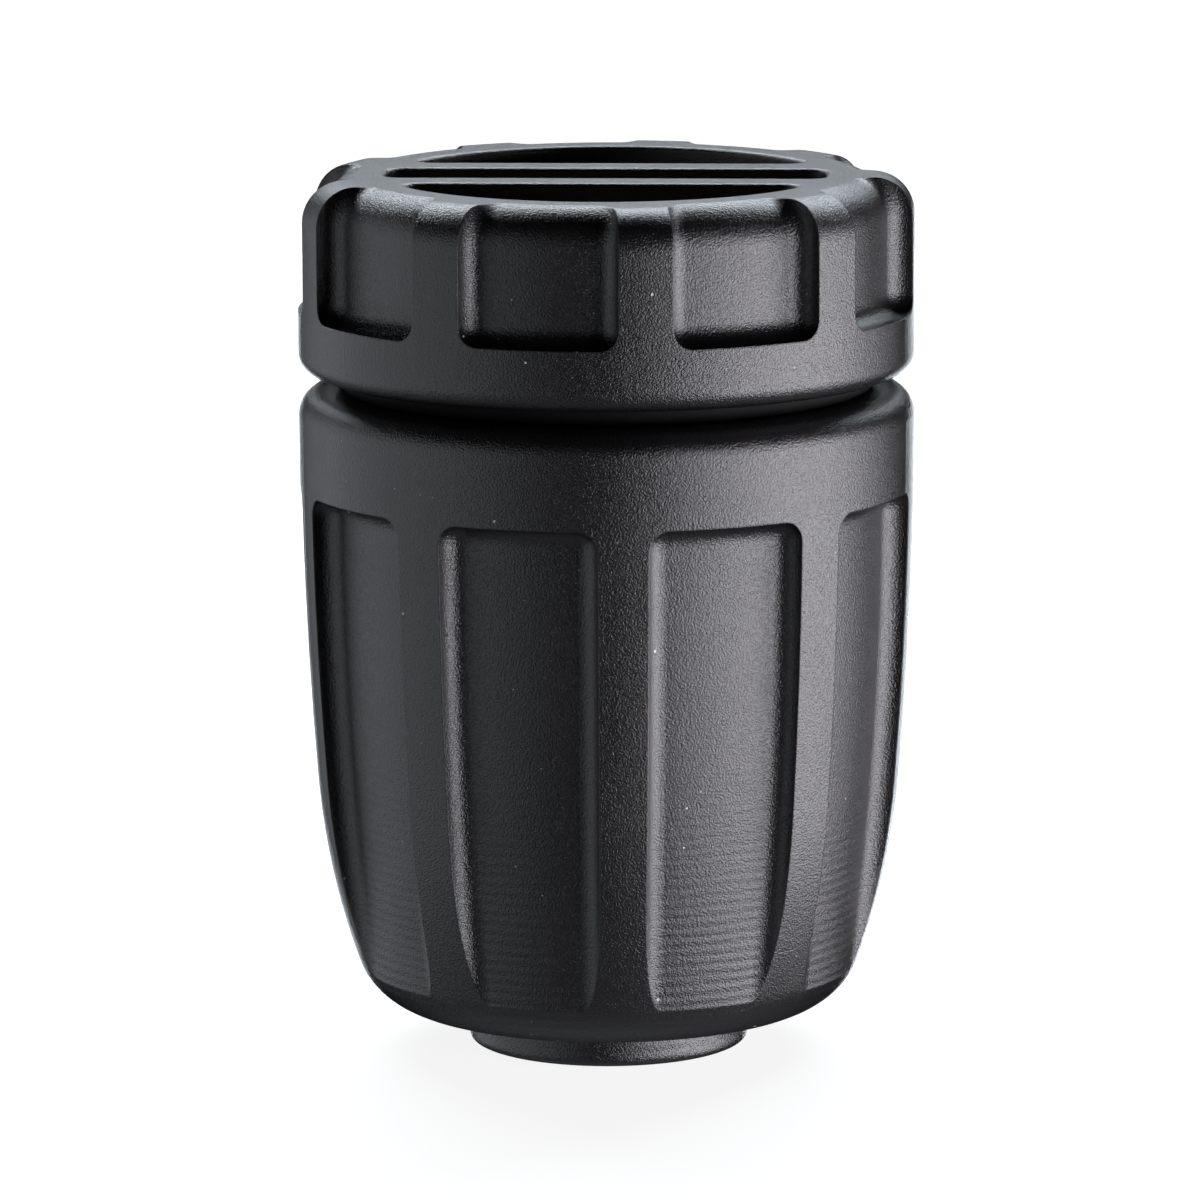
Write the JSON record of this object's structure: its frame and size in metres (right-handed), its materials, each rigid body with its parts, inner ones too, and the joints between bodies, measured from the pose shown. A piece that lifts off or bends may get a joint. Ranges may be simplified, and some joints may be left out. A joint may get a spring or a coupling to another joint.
{
  "type": "crank handle knob",
  "caption": "Fluted free-spinning finger knob for a reel's crank handle, with ball bearings inside and a slotted screw-on end cap.",
  "frame": {"origin": "centre of the boss's lower face, on the spin axis, where the knob meets the crank arm", "axes": "+Z along the spin axis from the boss to the slotted cap; the cap's two bars run along X; +X passes through the middle of a land between two grip pockets of the cap"},
  "size_m": [0.038, 0.038, 0.0544],
  "materials": {
    "barrel_black": "black anodised over fine bead blasting, satin",
    "cap_black": "black anodised over fine bead blasting, satin",
    "seal_rubber": "matt black rubber",
    "washer_plastic": "dark acetal, turned",
    "shim_steel": "thin stainless shim",
    "spacer_alloy": "turned, clear anodised",
    "washer_steel": "turned stainless",
    "screw_steel": "turned stainless",
    "ring_steel": "ground bearing steel",
    "ball_steel": "polished bearing steel",
    "cage_brass": "turned brass",
    "shield_steel": "pressed stainless shield"
  },
  "bodies": {
    "handle_side": {"shim_washer": "shim_steel", "lower_bearing_inner_ring": "ring_steel", "inner_spacer": "spacer_alloy", "upper_bearing_inner_ring": "ring_steel", "retaining_washer": "washer_steel", "retaining_screw": "screw_steel"},
    "barrel": {"knob_barrel": "barrel_black", "cap_seal_ring": "seal_rubber", "lower_bearing_outer_ring": "ring_steel", "lower_bearing_bottom_shield": "shield_steel", "lower_bearing_top_shield": "shield_steel", "upper_bearing_outer_ring": "ring_steel", "upper_bearing_bottom_shield": "shield_steel", "upper_bearing_top_shield": "shield_steel"},
    "lower_ball_set": {"lower_bearing_balls": "ball_steel", "lower_bearing_cage": "cage_brass"},
    "upper_ball_set": {"upper_bearing_balls": "ball_steel", "upper_bearing_cage": "cage_brass"},
    "cap_washer": {"cap_thrust_washer": "washer_plastic"},
    "cap": {"end_cap": "cap_black"}
  },
  "joints": [
    {"name": "knob_spin", "type": "hinge", "parent": "handle_side", "child": "barrel", "pos_m": [0, 0, 0.018], "axis": [0, 0, 1], "continuous": true},
    {"name": "lower_ball_spin", "type": "hinge", "parent": "handle_side", "child": "lower_ball_set", "pos_m": [0, 0, 0.0021], "axis": [0, 0, 1], "continuous": true},
    {"name": "upper_ball_spin", "type": "hinge", "parent": "handle_side", "child": "upper_ball_set", "pos_m": [0, 0, 0.0345], "axis": [0, 0, 1], "continuous": true},
    {"name": "cap_rise", "type": "slide", "parent": "barrel", "child": "cap_washer", "axis": [0, 0, 1], "range_m": [0, 0.0045]},
    {"name": "cap_turn", "type": "hinge", "parent": "cap_washer", "child": "cap", "pos_m": [0, 0, 0.0518], "axis": [0, 0, 1], "range_deg": [0, 1080]}
  ],
  "couplings": [
    {"joint": "lower_ball_spin", "follows": "knob_spin", "ratio": 0.56667},
    {"joint": "upper_ball_spin", "follows": "knob_spin", "ratio": 0.56667},
    {"joint": "cap_turn", "follows": "cap_rise", "rad_per_m": 4188.8}
  ]
}
